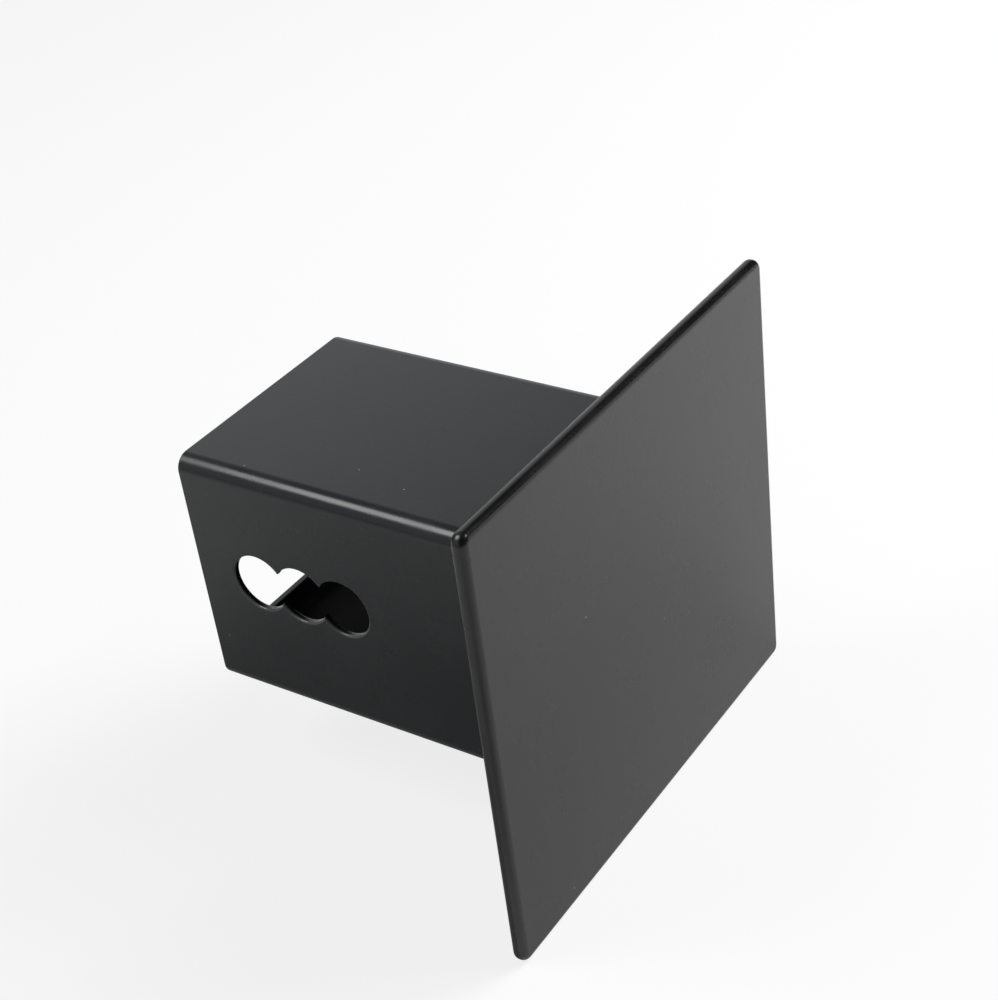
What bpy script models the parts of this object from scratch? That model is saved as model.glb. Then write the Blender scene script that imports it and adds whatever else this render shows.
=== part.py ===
"""Hitch receiver cover: a steel face plate welded to a hollow square stem.

The front of the plate faces -Y, the stem points along +Y into the receiver, and the origin
is the middle of the plate's back face. Metres, +Z up.
"""
from math import cos, pi, radians, sin, sqrt

import bmesh
import bpy
from mathutils import Matrix, Vector

MM = 0.001

# Face plate
PLATE_WIDTH = 95.6 * MM
PLATE_HEIGHT = 88.3 * MM
PLATE_THICKNESS = 3.0 * MM
PLATE_CORNER_RADIUS = 2.0 * MM
PLATE_EDGE_RADIUS = 1.4 * MM

# Square stem, folded from sheet and set a little below the plate's middle
STEM_WIDTH = 50.0 * MM
STEM_HEIGHT = 50.0 * MM
STEM_REACH = 78.0 * MM
STEM_DROP = 0.5 * MM
STEM_WALL = 1.5 * MM
FOLD_INNER_RADIUS = 1.5 * MM
STEM_EDGE_BREAK = 0.3 * MM

# Lip turned up at the stem's mouth; the height is from the stem's underside. A relief slot
# frees each side of it and runs a little past the fold; a flat shoulder stays between the
# slot and the corner fold
LIP_HEIGHT = 7.0 * MM
RELIEF_WIDTH = 1.2 * MM
RELIEF_RUN_IN = 1.0 * MM
SHOULDER_WIDTH = 0.8 * MM

# Row of overlapping pin holes through both side walls. The first centre is set back from the
# mouth and the row runs towards the plate; the rise is from the stem's middle
PIN_HOLE_DIAMETER = 11.5 * MM
PIN_HOLE_PITCH = 9.5 * MM
PIN_HOLE_COUNT = 3
PIN_HOLE_TO_MOUTH = 14.3 * MM
PIN_HOLE_RISE = 1.5 * MM
PIN_HOLE_RIM_RADIUS = 0.45 * MM

# Fillet welds at the foot of both side walls; the bulge is over the line between the toes
WELD_LEG = 3.0 * MM
WELD_BULGE = 0.5 * MM
WELD_LENGTH = 30.0 * MM
WELD_RIPPLE_PITCH = 1.6 * MM
WELD_RIPPLE_DEPTH = 0.2 * MM
WELD_END_LENGTH = 2.5 * MM
WELD_END_FALL = 1.2 * MM

# Clearance between pieces that touch
SEAT_GAP = 0.3 * MM

# The outside of every fold in the sheet
FOLD_OUTER_RADIUS = FOLD_INNER_RADIUS + STEM_WALL

# Facets of the round stretches
CORNER_SEGMENTS = 10
EDGE_SEGMENTS = 6
BREAK_SEGMENTS = 3
FOLD_SEGMENTS = 8
HOLE_SEGMENTS = 48
WELD_POINTS_PER_RIPPLE = 4
WELD_ROD_RESOLUTION = 16

# Edges that turn by more than SHARP_ANGLE are rounded, faces that tilt by less than
# LEVEL_ANGLE are flat, and points nearer than MERGE are one
SHARP_ANGLE = radians(35.0)
LEVEL_ANGLE = radians(1.0)
MERGE = 0.01 * MM

# Powder coat, as linear colour
COAT_COLOUR = (0.02, 0.0205, 0.021, 1.0)
WELD_COLOUR = (0.018, 0.0185, 0.019, 1.0)
COAT_ROUGHNESS = 0.35
WELD_ROUGHNESS = 0.4


def clear_scene():
    """Remove whatever the file opens with."""
    for obj in list(bpy.data.objects):
        bpy.data.objects.remove(obj, do_unlink=True)


def new_collection(name):
    """Add a collection to the scene."""
    collection = bpy.data.collections.new(name)
    bpy.context.scene.collection.children.link(collection)
    return collection


def coated(name, colour, roughness):
    """Powder-coated steel: the coat hides the metal, so it is not metallic."""
    material = bpy.data.materials.new(name)
    material.use_nodes = True
    shader = material.node_tree.nodes["Principled BSDF"]
    shader.inputs["Base Color"].default_value = colour
    shader.inputs["Roughness"].default_value = roughness
    shader.inputs["Metallic"].default_value = 0.0
    return material


def add_object(name, mesh_builder, collection):
    """Turn a bmesh into an object with its origin at the world's."""
    mesh = bpy.data.meshes.new(name)
    mesh_builder.to_mesh(mesh)
    mesh_builder.free()
    obj = bpy.data.objects.new(name, mesh)
    collection.objects.link(obj)
    return obj


def add_cutter(name, mesh_builder, collection):
    """A solid that only cuts others: shown as wires and never rendered."""
    cutter = add_object(name, mesh_builder, collection)
    cutter.hide_render = True
    cutter.display_type = "WIRE"
    return cutter


def boolean(obj, cutter, operation):
    """Cut away or keep what the cutter covers."""
    modifier = obj.modifiers.new(cutter.name, "BOOLEAN")
    modifier.operation = operation
    modifier.object = cutter
    modifier.solver = "EXACT"


def round_edges(obj, radius, segments):
    """Round every sharp edge."""
    modifier = obj.modifiers.new("edge_radius", "BEVEL")
    modifier.width = radius
    modifier.segments = segments
    modifier.limit_method = "ANGLE"
    modifier.angle_limit = SHARP_ANGLE
    modifier.use_clamp_overlap = False


def build_face_plate(parts):
    """Flat rectangular plate with rounded corners and edges."""
    bm = bmesh.new()
    bmesh.ops.create_cube(bm, size=1.0)
    bmesh.ops.scale(bm, vec=(PLATE_WIDTH, PLATE_THICKNESS, PLATE_HEIGHT), verts=bm.verts)
    bmesh.ops.translate(bm, vec=(0.0, -PLATE_THICKNESS / 2, 0.0), verts=bm.verts)
    corners = [e for e in bm.edges if e.verts[0].co.y != e.verts[1].co.y]
    bmesh.ops.bevel(bm, geom=corners, offset=PLATE_CORNER_RADIUS, affect="EDGES",
                    segments=CORNER_SEGMENTS, profile=0.5)
    plate = add_object("face_plate", bm, parts)
    thickest_round = min(PLATE_THICKNESS / 2, PLATE_CORNER_RADIUS) - MERGE
    round_edges(plate, min(PLATE_EDGE_RADIUS, thickest_round), EDGE_SEGMENTS)
    plate.data.materials.append(coated("face_plate", COAT_COLOUR, COAT_ROUGHNESS))


def add_stem_axis(parts):
    """Empty on the stem's centre line, which carries the stem, its holes and its welds."""
    axis = bpy.data.objects.new("stem_axis", None)
    axis.location = (0.0, 0.0, -STEM_DROP)
    parts.objects.link(axis)
    return axis


def folded_section():
    """Outer skin of the four walls: a rounded square, extruded from the foot to the mouth."""
    bm = bmesh.new()
    bmesh.ops.create_grid(bm, x_segments=1, y_segments=1, size=0.5)
    bmesh.ops.scale(bm, vec=(STEM_WIDTH, STEM_HEIGHT, 1.0), verts=bm.verts)
    bmesh.ops.rotate(bm, matrix=Matrix.Rotation(pi / 2, 3, "X"), verts=bm.verts)
    bmesh.ops.translate(bm, vec=(0.0, SEAT_GAP, 0.0), verts=bm.verts)
    bmesh.ops.bevel(bm, geom=bm.verts[:], offset=FOLD_OUTER_RADIUS, affect="VERTICES",
                    segments=CORNER_SEGMENTS, profile=0.5)
    bmesh.ops.delete(bm, geom=bm.faces[:], context="FACES_ONLY")
    walls = bmesh.ops.extrude_edge_only(bm, edges=bm.edges[:])
    mouth = [v for v in walls["geom"] if isinstance(v, bmesh.types.BMVert)]
    bmesh.ops.translate(bm, vec=(0.0, STEM_REACH - SEAT_GAP, 0.0), verts=mouth)
    bm.normal_update()
    return bm


def bottom_faces(bm):
    """Flat faces of the bottom wall."""
    return [f for f in bm.faces
            if abs(f.normal.z) > cos(LEVEL_ANGLE) and f.calc_center_median().z < 0.0]


def cut_for_lip(bm, fold_line, half_width):
    """Score the bottom wall for the lip and both reliefs, and take out what lies beyond."""
    relief_side = half_width + RELIEF_WIDTH
    relief_end = fold_line - RELIEF_RUN_IN
    scores = [((0.0, along, 0.0), (0.0, 1.0, 0.0)) for along in (relief_end, fold_line)]
    for across in (-relief_side, -half_width, half_width, relief_side):
        scores.append(((across, 0.0, 0.0), (1.0, 0.0, 0.0)))
    for point, normal in scores:
        faces = bottom_faces(bm)
        edges = list({e for f in faces for e in f.edges})
        verts = list({v for f in faces for v in f.verts})
        bmesh.ops.bisect_plane(bm, geom=faces + edges + verts, plane_co=point, plane_no=normal)
        bm.normal_update()
    beyond = []
    for face in bottom_faces(bm):
        middle = face.calc_center_median()
        in_lip = abs(middle.x) < half_width and middle.y > fold_line
        in_relief = half_width < abs(middle.x) < relief_side and middle.y > relief_end
        if in_lip or in_relief:
            beyond.append(face)
    bmesh.ops.delete(bm, geom=beyond, context="FACES")


def raise_lip(bm, fold_line, half_width):
    """Fold the lip up a quarter turn, then run it straight to its height."""
    fold = [e for e in bm.edges if e.is_boundary
            and all(abs(v.co.y - fold_line) < MERGE and abs(v.co.x) < half_width + MERGE
                    for v in e.verts)]
    turn = bmesh.ops.spin(bm, geom=fold, axis=(1.0, 0.0, 0.0), angle=pi / 2, steps=FOLD_SEGMENTS,
                          cent=(0.0, fold_line, FOLD_OUTER_RADIUS - STEM_HEIGHT / 2))
    upright = [e for e in turn["geom_last"] if isinstance(e, bmesh.types.BMEdge)]
    lip = bmesh.ops.extrude_edge_only(bm, edges=upright)
    tip = [v for v in lip["geom"] if isinstance(v, bmesh.types.BMVert)]
    bmesh.ops.translate(bm, vec=(0.0, 0.0, LIP_HEIGHT - FOLD_OUTER_RADIUS), verts=tip)


def drill_profile():
    """Half outline of the pin-hole cutter, from the axis out: across the stem, and radius.

    It is wide in the hollow and outside the stem, and narrows to the hole in each wall over a
    quarter round, so the hole's rims come out rounded. It starts in the middle of the stem.
    """
    bore = PIN_HOLE_DIAMETER / 2
    outer = STEM_WIDTH / 2
    inner = outer - STEM_WALL
    turns = [index * pi / 2 / BREAK_SEGMENTS for index in range(BREAK_SEGMENTS + 1)]
    rounding = PIN_HOLE_RIM_RADIUS
    rim = [(rounding * sin(turn), rounding * (1.0 - cos(turn))) for turn in turns]
    inner_rim = [(inner + rounding - depth, bore + flare) for depth, flare in rim]
    outer_rim = [(outer - rounding + depth, bore + flare) for depth, flare in rim]
    overrun = [rim[-1][axis] - rim[-2][axis] for axis in (0, 1)]
    wide = bore + rounding + overrun[1]
    half = [(inner - overrun[0], wide)] + inner_rim[::-1] + outer_rim
    half += [(outer + overrun[0], wide), (outer + overrun[0], 0.0)]
    return [(-across, radius) for across, radius in half[::-1]] + half


def drill_pin_holes(stem, axis, cutters):
    """Overlapping holes in a row, each through both side walls.

    Each cutter is turned by half a facet, which keeps its facet edges off the points where
    two holes meet.
    """
    for index in range(PIN_HOLE_COUNT):
        bm = bmesh.new()
        outline = [bm.verts.new((across, radius, 0.0)) for across, radius in drill_profile()]
        edges = [bm.edges.new(pair) for pair in zip(outline, outline[1:])]
        bmesh.ops.spin(bm, geom=outline + edges, axis=(1.0, 0.0, 0.0), cent=(0.0, 0.0, 0.0),
                       angle=2 * pi, steps=HOLE_SEGMENTS)
        bmesh.ops.remove_doubles(bm, verts=bm.verts[:], dist=MERGE)
        bmesh.ops.recalc_face_normals(bm, faces=bm.faces[:])
        drill = add_cutter("pin_hole_%d" % (index + 1), bm, cutters)
        drill.parent = axis
        along = STEM_REACH - PIN_HOLE_TO_MOUTH - index * PIN_HOLE_PITCH
        drill.location = (0.0, along, PIN_HOLE_RISE)
        drill.rotation_euler.x = pi / HOLE_SEGMENTS
        boolean(stem, drill, "DIFFERENCE")


def build_stem(axis, parts, cutters):
    """Square stem folded from one sheet, open at its mouth, with a lip and pin holes."""
    fold_line = STEM_REACH - FOLD_OUTER_RADIUS
    lip_half_width = STEM_WIDTH / 2 - FOLD_OUTER_RADIUS - SHOULDER_WIDTH - RELIEF_WIDTH
    bm = folded_section()
    cut_for_lip(bm, fold_line, lip_half_width)
    raise_lip(bm, fold_line, lip_half_width)
    bmesh.ops.remove_doubles(bm, verts=bm.verts[:], dist=MERGE)
    bmesh.ops.recalc_face_normals(bm, faces=bm.faces[:])
    stem = add_object("stem", bm, parts)
    stem.parent = axis

    sheet = stem.modifiers.new("sheet", "SOLIDIFY")
    sheet.thickness = STEM_WALL
    sheet.offset = -1.0
    sheet.use_even_offset = True
    round_edges(stem, STEM_EDGE_BREAK, BREAK_SEGMENTS)
    drill_pin_holes(stem, axis, cutters)
    stem.data.materials.append(coated("stem", COAT_COLOUR, COAT_ROUGHNESS))


def rippled_rod(name, centre, radius, collection):
    """Upright rod as a bevelled curve: it swells at each ripple and falls off at both ends."""
    steps = max(1, round(WELD_LENGTH / WELD_RIPPLE_PITCH)) * WELD_POINTS_PER_RIPPLE
    curve = bpy.data.curves.new(name, "CURVE")
    curve.dimensions = "3D"
    curve.bevel_depth = 1.0
    curve.bevel_resolution = WELD_ROD_RESOLUTION
    curve.use_fill_caps = True
    spline = curve.splines.new("POLY")
    spline.points.add(steps)
    for index, point in enumerate(spline.points):
        along = (index / steps - 0.5) * WELD_LENGTH
        from_end = WELD_LENGTH / 2 - abs(along)
        valley = (1.0 + cos(2 * pi * index / WELD_POINTS_PER_RIPPLE)) / 2
        fall = max(0.0, 1.0 - from_end / WELD_END_LENGTH)
        point.co = (centre.x, centre.y, along, 1.0)
        point.radius = radius - valley * WELD_RIPPLE_DEPTH - fall * WELD_END_FALL
    rod = bpy.data.objects.new(name, curve)
    collection.objects.link(rod)
    bpy.context.view_layer.update()
    graph = bpy.context.evaluated_depsgraph_get()
    bm = bmesh.new()
    bm.from_mesh(bpy.data.meshes.new_from_object(rod.evaluated_get(graph)))
    bpy.data.objects.remove(rod, do_unlink=True)
    bmesh.ops.remove_doubles(bm, verts=bm.verts[:], dist=MERGE)
    bmesh.ops.recalc_face_normals(bm, faces=bm.faces[:])
    return bm


def build_weld(name, side, axis, parts, cutters):
    """Fillet bead: the part of a rippled rod outside the plate's back and one side wall.

    The rod's centre lies behind the root, where its round face meets both toes of the bead.
    """
    root = Vector((side * (STEM_WIDTH / 2 + SEAT_GAP), SEAT_GAP, 0.0))
    outward = Vector((side, 1.0, 0.0)).normalized()
    throat = WELD_LEG / sqrt(2)
    radius = (throat ** 2 + WELD_BULGE ** 2) / (2 * WELD_BULGE)
    centre = root + outward * (throat + WELD_BULGE - radius)
    bead = add_object(name, rippled_rod(name + "_rod", centre, radius, cutters), parts)
    bead.parent = axis

    reach = 2 * WELD_LEG
    outside = bmesh.new()
    bmesh.ops.create_cube(outside, size=1.0)
    bmesh.ops.scale(outside, vec=(reach, reach, WELD_LENGTH + reach), verts=outside.verts)
    corner = add_cutter(name + "_corner", outside, cutters)
    corner.parent = axis
    corner.location = root + Vector((side, 1.0, 0.0)) * reach / 2
    boolean(bead, corner, "INTERSECT")
    bead.data.materials.append(coated(name, WELD_COLOUR, WELD_ROUGHNESS))


clear_scene()
cover = new_collection("hitch_receiver_cover")
cutting_tools = new_collection("cutters")
stem_axis = add_stem_axis(cover)
build_face_plate(cover)
build_stem(stem_axis, cover, cutting_tools)
build_weld("weld_left", -1.0, stem_axis, cover, cutting_tools)
build_weld("weld_right", 1.0, stem_axis, cover, cutting_tools)
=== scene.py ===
"""Looks of a hitch receiver cover: a black powder-coated plate welded to a folded square stem."""
from math import cos, pi, radians, sin, sqrt

import bmesh
import bpy
from mathutils import Matrix, Vector, noise


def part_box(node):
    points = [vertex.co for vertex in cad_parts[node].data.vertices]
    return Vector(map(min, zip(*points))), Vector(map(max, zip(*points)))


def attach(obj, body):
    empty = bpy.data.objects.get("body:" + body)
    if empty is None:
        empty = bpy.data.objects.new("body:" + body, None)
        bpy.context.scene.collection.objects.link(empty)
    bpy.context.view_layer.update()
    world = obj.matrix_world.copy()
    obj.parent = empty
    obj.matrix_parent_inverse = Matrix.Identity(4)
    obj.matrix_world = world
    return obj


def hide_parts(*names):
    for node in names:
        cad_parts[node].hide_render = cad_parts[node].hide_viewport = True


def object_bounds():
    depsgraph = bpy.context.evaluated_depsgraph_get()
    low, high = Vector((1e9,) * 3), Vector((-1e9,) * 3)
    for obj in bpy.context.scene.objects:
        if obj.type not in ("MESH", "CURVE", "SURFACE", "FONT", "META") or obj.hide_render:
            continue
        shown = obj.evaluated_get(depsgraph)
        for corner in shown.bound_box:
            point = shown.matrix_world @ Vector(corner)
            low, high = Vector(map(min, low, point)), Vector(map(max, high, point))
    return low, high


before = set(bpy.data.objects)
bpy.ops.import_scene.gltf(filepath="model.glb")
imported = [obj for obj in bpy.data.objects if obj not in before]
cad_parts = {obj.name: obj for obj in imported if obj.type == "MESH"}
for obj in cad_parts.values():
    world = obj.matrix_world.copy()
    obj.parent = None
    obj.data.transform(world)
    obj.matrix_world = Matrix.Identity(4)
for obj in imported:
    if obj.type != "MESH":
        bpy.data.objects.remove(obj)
cad_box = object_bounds()

# Camera: where the photo was taken from, worked out from the cover's own straight edges. The
# photo is taller than it is wide, so the sensor's width lies along its height
MM = 0.001
camera_place = Vector((-230.2, -150.1, 203.1)) * MM
camera_target = Vector((10.6, 34.0, 5.3)) * MM
camera_roll = 0.135
camera = bpy.data.objects.new("camera", bpy.data.cameras.new("camera"))
bpy.context.scene.collection.objects.link(camera)
camera.data.sensor_width = 36.0
camera.data.lens = 70.4
camera.data.clip_start = 10 * MM
camera_turn = (camera_target - camera_place).to_track_quat("-Z", "Y").to_matrix().to_4x4()
camera.matrix_world = (Matrix.Translation(camera_place) @ camera_turn
                       @ Matrix.Rotation(-camera_roll, 4, "Z"))
bpy.context.scene.camera = camera
bpy.context.scene.view_settings.view_transform = "Standard"

# Room: the camera sees it white. The gloss sees it nearly dark, with a pale board low on the
# right, a soft window behind the cover, its light on the ceiling and a dim wall on the left
world = bpy.data.worlds.new("room")
bpy.context.scene.world = world
world.use_nodes = True
nodes, links = world.node_tree.nodes, world.node_tree.links
walls = nodes["Background"]
walls.inputs["Color"].default_value = (1.0, 1.0, 1.0, 1.0)
wall_light = 0.02
unlit_gloss = 0.01
direction = nodes.new("ShaderNodeTexCoord")
room_in_gloss = None
for toward, strength, fades_at, full_at in (
    ((0.668, -0.744, -0.05), 1.0, 0.90, 0.95),
    ((0.70, 0.68, 0.20), 0.86, 0.80, 1.0),
    ((0.10, 0.75, 0.65), 0.30, 0.75, 1.0),
    ((-0.8, 0.5, 0.1), 0.60, 0.60, 1.0),
):
    nearness = nodes.new("ShaderNodeVectorMath")
    nearness.operation = "DOT_PRODUCT"
    nearness.inputs[1].default_value = Vector(toward).normalized()
    patch = nodes.new("ShaderNodeMapRange")
    patch.interpolation_type = "SMOOTHSTEP"
    patch.inputs["From Min"].default_value = fades_at
    patch.inputs["From Max"].default_value = full_at
    patch.inputs["To Max"].default_value = strength
    together = nodes.new("ShaderNodeMath")
    together.inputs[1].default_value = unlit_gloss
    links.new(direction.outputs["Generated"], nearness.inputs[0])
    links.new(nearness.outputs["Value"], patch.inputs["Value"])
    links.new(patch.outputs["Result"], together.inputs[0])
    if room_in_gloss:
        links.new(room_in_gloss, together.inputs[1])
    room_in_gloss = together.outputs["Value"]


def seen_strength(nodes, links, plain, to_camera, in_gloss=0.0, gloss_socket=None):
    """A strength of its own for the camera, for what gloss and glass show, and for the rest.

    What the gloss shows is a number, or a socket where it differs from place to place.
    """
    light_path = nodes.new("ShaderNodeLightPath")
    shiny = nodes.new("ShaderNodeMath")
    shiny.operation = "MAXIMUM"
    links.new(light_path.outputs["Is Glossy Ray"], shiny.inputs[0])
    links.new(light_path.outputs["Is Transmission Ray"], shiny.inputs[1])
    unseen = nodes.new("ShaderNodeMapRange")
    unseen.inputs["To Min"].default_value = plain
    unseen.inputs["To Max"].default_value = in_gloss
    if gloss_socket:
        links.new(gloss_socket, unseen.inputs["To Max"])
    links.new(shiny.outputs["Value"], unseen.inputs["Value"])
    strength = nodes.new("ShaderNodeMapRange")
    strength.inputs["To Max"].default_value = to_camera
    links.new(light_path.outputs["Is Camera Ray"], strength.inputs["Value"])
    links.new(unseen.outputs["Result"], strength.inputs["To Min"])
    return strength.outputs["Result"]


links.new(seen_strength(nodes, links, wall_light, 1.0, gloss_socket=room_in_gloss),
          walls.inputs["Strength"])

# Floor: the table that the plate's lower edge stands on. The camera sees it mostly as its own
# white, so it stays pale and still takes the cover's shadow. In the gloss it is painted greyer
# on the left, a painted shadow of the cover that its reflections pick up
floor_size = 4.0
floor_gap = 0.2 * MM
table_grey = 0.65
own_white_share = 0.82
own_white_in_gloss = 0.02
# Painted shadow: in the gloss the table is darker around a spot ahead of the cover on the left
shadow_grey = 0.25
shadow_middle = (-108 * MM, -28 * MM, 0.0)
shadow_full_within = 25 * MM
shadow_gone_past = 80 * MM
floor_mesh = bmesh.new()
bmesh.ops.create_grid(floor_mesh, x_segments=1, y_segments=1, size=floor_size / 2)
bmesh.ops.translate(floor_mesh, vec=(0.0, 0.0, cad_box[0].z - floor_gap), verts=floor_mesh.verts)
floor = bpy.data.objects.new("floor", bpy.data.meshes.new("floor"))
floor_mesh.to_mesh(floor.data)
floor_mesh.free()
bpy.context.scene.collection.objects.link(floor)
table_white = bpy.data.materials.new("table_white")
table_white.use_nodes = True
nodes, links = table_white.node_tree.nodes, table_white.node_tree.links
nodes.remove(nodes["Principled BSDF"])
paper = nodes.new("ShaderNodeBsdfDiffuse")
own_white = nodes.new("ShaderNodeEmission")
place = nodes.new("ShaderNodeTexCoord")
from_shadow_middle = nodes.new("ShaderNodeVectorMath")
from_shadow_middle.operation = "DISTANCE"
from_shadow_middle.inputs[1].default_value = shadow_middle
painted_shadow = nodes.new("ShaderNodeMapRange")
painted_shadow.interpolation_type = "SMOOTHSTEP"
painted_shadow.inputs["From Min"].default_value = shadow_full_within
painted_shadow.inputs["From Max"].default_value = shadow_gone_past
painted_shadow.inputs["To Min"].default_value = shadow_grey
painted_shadow.inputs["To Max"].default_value = table_grey
light_path = nodes.new("ShaderNodeLightPath")
paper_grey = nodes.new("ShaderNodeMapRange")
paper_grey.inputs["To Min"].default_value = table_grey
links.new(place.outputs["Object"], from_shadow_middle.inputs[0])
links.new(from_shadow_middle.outputs["Value"], painted_shadow.inputs["Value"])
links.new(light_path.outputs["Is Glossy Ray"], paper_grey.inputs["Value"])
links.new(painted_shadow.outputs["Result"], paper_grey.inputs["To Max"])
links.new(paper_grey.outputs["Result"], paper.inputs["Color"])
mix = nodes.new("ShaderNodeMixShader")
links.new(seen_strength(nodes, links, 0.0, own_white_share, in_gloss=own_white_in_gloss),
          mix.inputs["Fac"])
links.new(paper.outputs["BSDF"], mix.inputs[1])
links.new(own_white.outputs["Emission"], mix.inputs[2])
links.new(mix.outputs["Shader"], nodes["Material Output"].inputs["Surface"])
floor.data.materials.append(table_white)

# Lamps: a soft box behind and to the left draws the bright line along the stem's fold, a big
# one ahead on the right lights the table, and a small one in front is the second spark on the
# plate's near corner. The big one is kept out of the gloss, as by a flag
lamp_along = Vector((0.9, 0.0, 0.43))
for name, toward, away, width, height, power, in_gloss in (
    ("back_left_box", (-0.38, 0.50, 0.80), 0.8, 0.34, 0.34, 2.9, True),
    ("front_right_box", (0.68, -0.36, 0.64), 0.85, 0.42, 0.42, 10.9, False),
    ("front_spot", (0.32, -0.53, 0.79), 0.85, 0.10, 0.10, 1.2, True),
):
    lamp = bpy.data.objects.new(name, bpy.data.lights.new(name, "AREA"))
    bpy.context.scene.collection.objects.link(lamp)
    lamp.data.shape = "RECTANGLE"
    lamp.data.size = width
    lamp.data.size_y = height
    lamp.data.energy = power
    lamp.visible_glossy = in_gloss
    back = Vector(toward).normalized()
    across = (lamp_along - back * back.dot(lamp_along)).normalized()
    facing = Matrix((across, back.cross(across), back)).transposed().to_4x4()
    lamp.matrix_world = Matrix.Translation(back * away) @ facing

# Face plate: a flat blank of 3 mm steel with rounded corners, its edges ground nearly full
# round before it is welded to the stem and powder-coated with it
plate_corner_radius = 2.0 * MM
plate_corner_segments = 20
plate_edge_radius = 1.4 * MM
plate_edge_segments = 14
rim_angle = radians(60.0)
plate_low, plate_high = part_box("face_plate")
bm = bmesh.new()
bmesh.ops.create_cube(bm, size=1.0)
bmesh.ops.scale(bm, vec=plate_high - plate_low, verts=bm.verts)
bmesh.ops.translate(bm, vec=(plate_high + plate_low) / 2, verts=bm.verts)
corners = [e for e in bm.edges if abs(e.verts[0].co.y - e.verts[1].co.y) > plate_edge_radius]
bmesh.ops.bevel(bm, geom=corners, offset=plate_corner_radius, affect="EDGES",
                segments=plate_corner_segments, profile=0.5, material=-1)
rims = [e for e in bm.edges if e.calc_face_angle(0.0) > rim_angle]
bmesh.ops.bevel(bm, geom=rims, offset=plate_edge_radius, affect="EDGES",
                segments=plate_edge_segments, profile=0.5, material=-1)


# Every piece is shaded smooth with its normals led by the large flat faces, as bent and
# ground steel looks, and creases past this angle stay keen
def show(name, mesh_builder, node, crease=radians(50.0)):
    """Make the piece that stands for a CAD node, with its place in its mesh."""
    for face in mesh_builder.faces:
        face.smooth = True
    for edge in mesh_builder.edges:
        edge.smooth = edge.calc_face_angle(0.0) < crease
    piece = bpy.data.objects.new(name, bpy.data.meshes.new(name))
    mesh_builder.to_mesh(piece.data)
    mesh_builder.free()
    bpy.context.scene.collection.objects.link(piece)
    normals = piece.modifiers.new("flat_led_normals", "WEIGHTED_NORMAL")
    normals.keep_sharp = True
    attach(piece, "root")
    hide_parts(node)
    return piece


plate = show("coated_plate", bm, "face_plate")

# Powder coat: fine orange peel from the melted powder, slow drifts where the coat is a little
# thicker or duller, and a few pale specks of dust that were baked into it. All are groups that
# each coated piece sets for itself
peel = bpy.data.node_groups.new("orange_peel", "ShaderNodeTree")
peel.interface.new_socket("Grain Size", in_out="INPUT", socket_type="NodeSocketFloat")
peel.interface.new_socket("Height", in_out="OUTPUT", socket_type="NodeSocketFloat")
nodes, links = peel.nodes, peel.links
group_in, group_out = nodes.new("NodeGroupInput"), nodes.new("NodeGroupOutput")
place = nodes.new("ShaderNodeTexCoord")
frequency = nodes.new("ShaderNodeMath")
frequency.operation = "DIVIDE"
frequency.inputs[0].default_value = 1.0
dimples = nodes.new("ShaderNodeTexNoise")
dimples.inputs["Detail"].default_value = 2.0
dimples.inputs["Roughness"].default_value = 0.4
links.new(group_in.outputs["Grain Size"], frequency.inputs[1])
links.new(place.outputs["Object"], dimples.inputs["Vector"])
links.new(frequency.outputs["Value"], dimples.inputs["Scale"])
links.new(dimples.outputs["Fac"], group_out.inputs["Height"])

drift = bpy.data.node_groups.new("coat_drift", "ShaderNodeTree")
for name, kind in (
    ("Colour", "NodeSocketColor"),
    ("Duller Colour", "NodeSocketColor"),
    ("Roughness", "NodeSocketFloat"),
    ("Duller Roughness", "NodeSocketFloat"),
    ("Patch Size", "NodeSocketFloat"),
):
    drift.interface.new_socket(name, in_out="INPUT", socket_type=kind)
drift.interface.new_socket("Colour", in_out="OUTPUT", socket_type="NodeSocketColor")
drift.interface.new_socket("Roughness", in_out="OUTPUT", socket_type="NodeSocketFloat")
nodes, links = drift.nodes, drift.links
group_in, group_out = nodes.new("NodeGroupInput"), nodes.new("NodeGroupOutput")
place = nodes.new("ShaderNodeTexCoord")
frequency = nodes.new("ShaderNodeMath")
frequency.operation = "DIVIDE"
frequency.inputs[0].default_value = 1.0
patches = nodes.new("ShaderNodeTexNoise")
patches.inputs["Detail"].default_value = 3.0
patches.inputs["Roughness"].default_value = 0.55
shares = nodes.new("ShaderNodeMapRange")
shares.interpolation_type = "SMOOTHSTEP"
shares.inputs["From Min"].default_value = 0.35
shares.inputs["From Max"].default_value = 0.65
colours = nodes.new("ShaderNodeMix")
colours.data_type = "RGBA"
roughnesses = nodes.new("ShaderNodeMix")
speck_spacing = 8 * MM
speck_radius = 0.22 * MM
specks = nodes.new("ShaderNodeTexVoronoi")
specks.inputs["Scale"].default_value = 1.0 / speck_spacing
speckled = nodes.new("ShaderNodeMapRange")
speckled.inputs["From Min"].default_value = speck_radius / speck_spacing
speckled.inputs["From Max"].default_value = 0.7 * speck_radius / speck_spacing
flecked = nodes.new("ShaderNodeMix")
flecked.data_type = "RGBA"
flecked.inputs["B"].default_value = (0.14, 0.15, 0.16, 1.0)
links.new(group_in.outputs["Patch Size"], frequency.inputs[1])
links.new(place.outputs["Object"], patches.inputs["Vector"])
links.new(frequency.outputs["Value"], patches.inputs["Scale"])
links.new(patches.outputs["Fac"], shares.inputs["Value"])
links.new(shares.outputs["Result"], colours.inputs["Factor"])
links.new(shares.outputs["Result"], roughnesses.inputs["Factor"])
links.new(group_in.outputs["Colour"], colours.inputs["A"])
links.new(group_in.outputs["Duller Colour"], colours.inputs["B"])
links.new(group_in.outputs["Roughness"], roughnesses.inputs["A"])
links.new(group_in.outputs["Duller Roughness"], roughnesses.inputs["B"])
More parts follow.
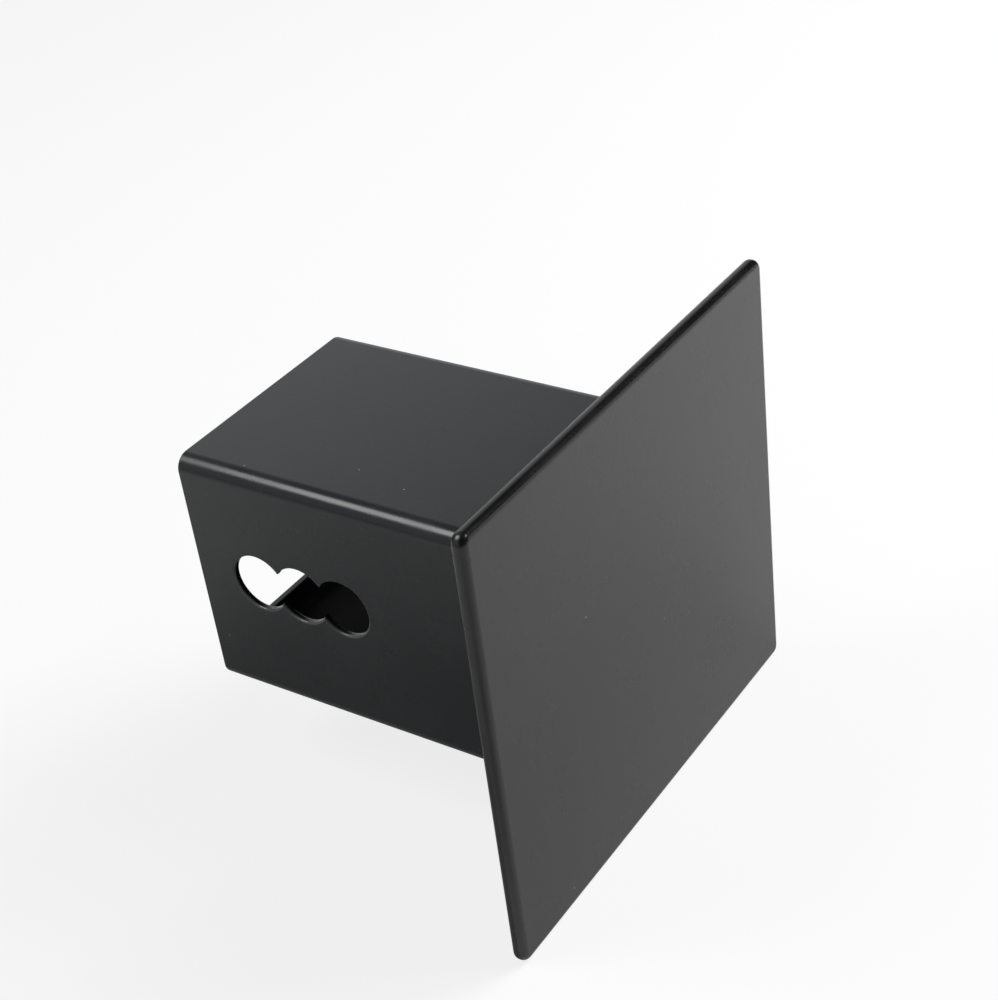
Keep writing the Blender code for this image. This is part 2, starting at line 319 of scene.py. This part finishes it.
links.new(place.outputs["Object"], specks.inputs["Vector"])
links.new(specks.outputs["Distance"], speckled.inputs["Value"])
links.new(speckled.outputs["Result"], flecked.inputs["Factor"])
links.new(colours.outputs["Result"], flecked.inputs["A"])
links.new(flecked.outputs["Result"], group_out.inputs["Colour"])
links.new(roughnesses.outputs["Result"], group_out.inputs["Roughness"])


def powder_coat(name, colour, duller, roughness, duller_roughness, grain, patch, dent,
                specular=0.5):
    """Satin black coat, with its own grain size, patch size and depth of orange peel."""
    material = bpy.data.materials.new(name)
    material.use_nodes = True
    nodes, links = material.node_tree.nodes, material.node_tree.links
    shader = nodes["Principled BSDF"]
    shader.inputs["Specular IOR Level"].default_value = specular
    drifts = nodes.new("ShaderNodeGroup")
    drifts.node_tree = drift
    drifts.inputs["Colour"].default_value = colour
    drifts.inputs["Duller Colour"].default_value = duller
    drifts.inputs["Roughness"].default_value = roughness
    drifts.inputs["Duller Roughness"].default_value = duller_roughness
    drifts.inputs["Patch Size"].default_value = patch
    grains = nodes.new("ShaderNodeGroup")
    grains.node_tree = peel
    grains.inputs["Grain Size"].default_value = grain
    bump = nodes.new("ShaderNodeBump")
    bump.inputs["Distance"].default_value = dent
    links.new(drifts.outputs["Colour"], shader.inputs["Base Color"])
    links.new(drifts.outputs["Roughness"], shader.inputs["Roughness"])
    links.new(grains.outputs["Height"], bump.inputs["Height"])
    links.new(bump.outputs["Normal"], shader.inputs["Normal"])
    return material


plate.data.materials.append(powder_coat(
    "plate_coat", colour=(0.0045, 0.0047, 0.0047, 1.0), duller=(0.0070, 0.0071, 0.0069, 1.0),
    roughness=0.24, duller_roughness=0.29, grain=1.3 * MM, patch=14 * MM, dent=0.005 * MM))

# Stem: one blank of 1.5 mm sheet folded to a square and closed, open at the mouth. The end of
# its bottom wall is folded up into a lip between two relief slots
stem_wall = 1.5 * MM
fold_radius = 3.0 * MM
fold_segments = 20
sheet_break = 0.3 * MM
sheet_break_segments = 5
sharp_angle = radians(35.0)
level_angle = radians(1.0)
lip_height = 7.0 * MM
lip_fold_segments = 16
relief_width = 1.2 * MM
relief_run_in = 1.0 * MM
shoulder_width = 0.8 * MM
weld_distance = 0.01 * MM
stem_low, stem_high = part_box("stem")
stem_middle = (stem_low + stem_high) / 2
fold_line = stem_high.y - fold_radius
lip_side = stem_high.x - fold_radius - shoulder_width - relief_width
relief_side = lip_side + relief_width
bm = bmesh.new()
bmesh.ops.create_grid(bm, x_segments=1, y_segments=1, size=0.5)
bmesh.ops.scale(bm, vec=(stem_high.x - stem_low.x, stem_high.z - stem_low.z, 1.0), verts=bm.verts)
bmesh.ops.rotate(bm, matrix=Matrix.Rotation(pi / 2, 3, "X"), verts=bm.verts)
bmesh.ops.translate(bm, vec=(stem_middle.x, stem_low.y, stem_middle.z), verts=bm.verts)
bmesh.ops.bevel(bm, geom=bm.verts[:], offset=fold_radius, affect="VERTICES",
                segments=fold_segments, profile=0.5, material=-1)
bmesh.ops.delete(bm, geom=bm.faces[:], context="FACES_ONLY")
walls = bmesh.ops.extrude_edge_only(bm, edges=bm.edges[:])
mouth = [v for v in walls["geom"] if isinstance(v, bmesh.types.BMVert)]
bmesh.ops.translate(bm, vec=(0.0, stem_high.y - stem_low.y, 0.0), verts=mouth)


def flat_bottom():
    """Faces of the stem's bottom wall, without its folds."""
    bm.normal_update()
    return [f for f in bm.faces
            if abs(f.normal.z) > cos(level_angle) and f.calc_center_median().z < stem_middle.z]


for point, normal in (
    ((0.0, fold_line - relief_run_in, 0.0), (0.0, 1.0, 0.0)),
    ((0.0, fold_line, 0.0), (0.0, 1.0, 0.0)),
    ((-relief_side, 0.0, 0.0), (1.0, 0.0, 0.0)),
    ((-lip_side, 0.0, 0.0), (1.0, 0.0, 0.0)),
    ((lip_side, 0.0, 0.0), (1.0, 0.0, 0.0)),
    ((relief_side, 0.0, 0.0), (1.0, 0.0, 0.0)),
):
    bottom = flat_bottom()
    scored = bottom + list({e for f in bottom for e in f.edges})
    scored += list({v for f in bottom for v in f.verts})
    bmesh.ops.bisect_plane(bm, geom=scored, plane_co=point, plane_no=normal)
cut_away = []
for face in flat_bottom():
    middle = face.calc_center_median()
    in_lip = abs(middle.x) < lip_side and middle.y > fold_line
    in_relief = (lip_side < abs(middle.x) < relief_side
                 and middle.y > fold_line - relief_run_in)
    if in_lip or in_relief:
        cut_away.append(face)
bmesh.ops.delete(bm, geom=cut_away, context="FACES")
fold = [e for e in bm.edges if e.is_boundary
        and all(abs(v.co.y - fold_line) < weld_distance
                and abs(v.co.x) < lip_side + weld_distance for v in e.verts)]
turn = bmesh.ops.spin(bm, geom=fold, axis=(1.0, 0.0, 0.0), angle=pi / 2,
                      steps=lip_fold_segments, cent=(0.0, fold_line, stem_low.z + fold_radius))
upright = [e for e in turn["geom_last"] if isinstance(e, bmesh.types.BMEdge)]
lip = bmesh.ops.extrude_edge_only(bm, edges=upright)
tip = [v for v in lip["geom"] if isinstance(v, bmesh.types.BMVert)]
bmesh.ops.translate(bm, vec=(0.0, 0.0, lip_height - fold_radius), verts=tip)
bmesh.ops.remove_doubles(bm, verts=bm.verts[:], dist=weld_distance)
bmesh.ops.recalc_face_normals(bm, faces=bm.faces[:])
sheet = bpy.data.objects.new("stem_sheet", bpy.data.meshes.new("stem_sheet"))
bm.to_mesh(sheet.data)
bm.free()
bpy.context.scene.collection.objects.link(sheet)
thickness = sheet.modifiers.new("thickness", "SOLIDIFY")
thickness.thickness = stem_wall
thickness.offset = -1.0
thickness.use_even_offset = True
broken_edges = sheet.modifiers.new("broken_edges", "BEVEL")
broken_edges.width = sheet_break
broken_edges.segments = sheet_break_segments
broken_edges.limit_method = "ANGLE"
broken_edges.angle_limit = sharp_angle
broken_edges.use_clamp_overlap = False

# Pin holes: three in each side wall, so close that they run into each other, with rims that
# the blasting and the coat have rounded. Each is cut by a turned plug that flares at the walls
hole_radius = 5.75 * MM
hole_pitch = 9.5 * MM
hole_count = 3
hole_to_mouth = 14.3 * MM
hole_rise = 1.5 * MM
hole_rim_radius = 0.45 * MM
hole_facets = 120
rim_facets = 6
outer_wall = stem_high.x
inner_wall = outer_wall - stem_wall
turns = [index * pi / 2 / rim_facets for index in range(rim_facets + 1)]
rim = [(hole_rim_radius * sin(turn), hole_rim_radius * (1.0 - cos(turn))) for turn in turns]
overrun = (rim[-1][0] - rim[-2][0], rim[-1][1] - rim[-2][1])
flare = hole_radius + hole_rim_radius + overrun[1]
half = [(inner_wall - overrun[0], flare)]
half += [(inner_wall + hole_rim_radius - depth, hole_radius + rise) for depth, rise in rim[::-1]]
half += [(outer_wall - hole_rim_radius + depth, hole_radius + rise) for depth, rise in rim]
half += [(outer_wall + overrun[0], flare), (outer_wall + overrun[0], 0.0)]
plug_outline = [(-across, radius) for across, radius in half[::-1]] + half
plugs = []
for index in range(hole_count):
    bm = bmesh.new()
    outline = [bm.verts.new((across, radius, 0.0)) for across, radius in plug_outline]
    sides = [bm.edges.new(pair) for pair in zip(outline, outline[1:])]
    bmesh.ops.spin(bm, geom=outline + sides, axis=(1.0, 0.0, 0.0), cent=(0.0, 0.0, 0.0),
                   angle=2 * pi, steps=hole_facets, use_merge=True)
    bmesh.ops.remove_doubles(bm, verts=bm.verts[:], dist=weld_distance / 10)
    bmesh.ops.recalc_face_normals(bm, faces=bm.faces[:])
    bmesh.ops.rotate(bm, matrix=Matrix.Rotation(pi / hole_facets, 3, "X"), verts=bm.verts)
    bmesh.ops.translate(bm, verts=bm.verts, vec=(
        0.0, stem_high.y - hole_to_mouth - index * hole_pitch, stem_middle.z + hole_rise))
    plug = bpy.data.objects.new("plug_%d" % index, bpy.data.meshes.new("plug_%d" % index))
    bm.to_mesh(plug.data)
    bm.free()
    bpy.context.scene.collection.objects.link(plug)
    drilled = sheet.modifiers.new(plug.name, "BOOLEAN")
    drilled.operation = "DIFFERENCE"
    drilled.object = plug
    drilled.solver = "EXACT"
    plugs.append(plug)


def finished(piece, tools):
    """The piece's mesh with its modifiers carried out; the piece and its cutters are dropped."""
    bpy.context.view_layer.update()
    graph = bpy.context.evaluated_depsgraph_get()
    done = bmesh.new()
    done.from_mesh(bpy.data.meshes.new_from_object(piece.evaluated_get(graph)))
    for used in [piece] + tools:
        bpy.data.objects.remove(used, do_unlink=True)
    return done


stem = show("folded_stem", finished(sheet, plugs), "stem")
stem.data.materials.append(powder_coat(
    "stem_coat", colour=(0.0045, 0.0062, 0.0082, 1.0), duller=(0.0070, 0.0088, 0.0108, 1.0),
    roughness=0.25, duller_roughness=0.30, grain=1.2 * MM, patch=14 * MM, dent=0.005 * MM))
# Painted shade: the inner faces get a near-black, dull coat so the inside of the tube stays dark
stem.data.materials.append(powder_coat(
    "painted_shade_inside", colour=(0.0026, 0.0025, 0.003, 1.0), duller=(0.004, 0.0038, 0.0045, 1.0),
    roughness=0.60, duller_roughness=0.70, grain=0.7 * MM, patch=12 * MM, dent=0.008 * MM,
    specular=0.08))
# Painted highlight: the rounded hole rims get a pale grey coat so they show as lit edges
stem.data.materials.append(powder_coat(
    "painted_highlight_rim", colour=(0.065, 0.065, 0.066, 1.0), duller=(0.10, 0.10, 0.102, 1.0),
    roughness=0.25, duller_roughness=0.35, grain=0.8 * MM, patch=5 * MM, dent=0.003 * MM))

# The sheet's inner faces take a near-black, dull coat, painted shade for the inside of the tube,
# all but the mouth's edge, and the rounded rims of the holes take a pale coat, a painted
# highlight
hollow = inner_wall + weld_distance
hole_reach = hole_radius + hole_rim_radius
for face in stem.data.polygons:
    across, along, up = face.center
    if (abs(across) < hollow and abs(up - stem_middle.z) < hollow
            and along < stem_high.y - stem_wall + weld_distance):
        face.material_index = 1
    if (outer_wall - hole_rim_radius < abs(across) < outer_wall - weld_distance
            and abs(up - stem_middle.z - hole_rise) < hole_reach):
        face.material_index = 2

# Welds: a bead at the foot of each side wall, laid in small overlapping puddles and then
# coated with the rest. Each is the outer part of a rippled rod that lies behind the root
bead_leg = 3.0 * MM
bead_bulge = 0.5 * MM
bead_length = 30.0 * MM
rod_segments = 144
rod_cuts = 210
ripple_pitch = 1.6 * MM
ripple_depth = 0.16 * MM
ripple_roundness = 0.6
ripple_bow = 6.4 * MM
ripple_stray = 0.06 * MM
stray_frequency = 450
stray_across = 5
stray_apart = 3.0
bead_end = 2.5 * MM
bead_end_fall = 1.2 * MM
throat = bead_leg / sqrt(2)
rod_radius = (throat ** 2 + bead_bulge ** 2) / (2 * bead_bulge)
for name, side in (("weld_left", -1.0), ("weld_right", 1.0)):
    bead_low, bead_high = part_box(name)
    root = Vector((bead_low.x if side > 0 else bead_high.x, bead_low.y, stem_middle.z))
    outward = Vector((side, 1.0, 0.0)).normalized()
    centre = root + outward * (throat + bead_bulge - rod_radius)
    bm = bmesh.new()
    bmesh.ops.create_cone(bm, cap_ends=True, segments=rod_segments, radius1=rod_radius,
                          radius2=rod_radius, depth=bead_length)
    upright = [e for e in bm.edges if abs(e.verts[0].co.z - e.verts[1].co.z) > ripple_pitch]
    bmesh.ops.subdivide_edges(bm, edges=upright, cuts=rod_cuts, use_grid_fill=False)
    for vert in bm.verts:
        across = Vector((vert.co.x, vert.co.y, 0.0))
        if across.length < rod_radius / 2:
            continue
        behind = 1.0 - across.normalized().dot(outward)
        along = vert.co.z - ripple_bow * behind
        stray_place = (along * stray_frequency, side * stray_apart, behind * stray_across)
        stray = noise.noise(Vector(stray_place)) * ripple_stray
        puddle = abs(sin(pi * along / ripple_pitch + side)) ** ripple_roundness
        from_end = bead_length / 2 - abs(vert.co.z)
        fall = max(0.0, 1.0 - from_end / bead_end) ** 2
        rise = (puddle - 1.0) * ripple_depth + stray - fall * bead_end_fall
        vert.co += across.normalized() * rise
    bmesh.ops.translate(bm, vec=centre, verts=bm.verts)
    bmesh.ops.recalc_face_normals(bm, faces=bm.faces[:])
    rod = bpy.data.objects.new(name + "_rod", bpy.data.meshes.new(name + "_rod"))
    bm.to_mesh(rod.data)
    bm.free()
    bpy.context.scene.collection.objects.link(rod)
    reach = 2 * bead_leg
    bm = bmesh.new()
    bmesh.ops.create_cube(bm, size=1.0)
    bmesh.ops.scale(bm, vec=(reach, reach, bead_length + reach), verts=bm.verts)
    bmesh.ops.translate(bm, vec=root + Vector((side, 1.0, 0.0)) * reach / 2, verts=bm.verts)
    corner = bpy.data.objects.new(name + "_corner", bpy.data.meshes.new(name + "_corner"))
    bm.to_mesh(corner.data)
    bm.free()
    bpy.context.scene.collection.objects.link(corner)
    kept = rod.modifiers.new("kept", "BOOLEAN")
    kept.operation = "INTERSECT"
    kept.object = corner
    kept.solver = "EXACT"
    bead = show(name + "_bead", finished(rod, [corner]), name)
    bead.data.materials.append(powder_coat(
        name + "_coat", colour=(0.006, 0.0072, 0.0086, 1.0), duller=(0.009, 0.0105, 0.012, 1.0),
        roughness=0.30, duller_roughness=0.36, grain=0.8 * MM, patch=8 * MM, dent=0.005 * MM))
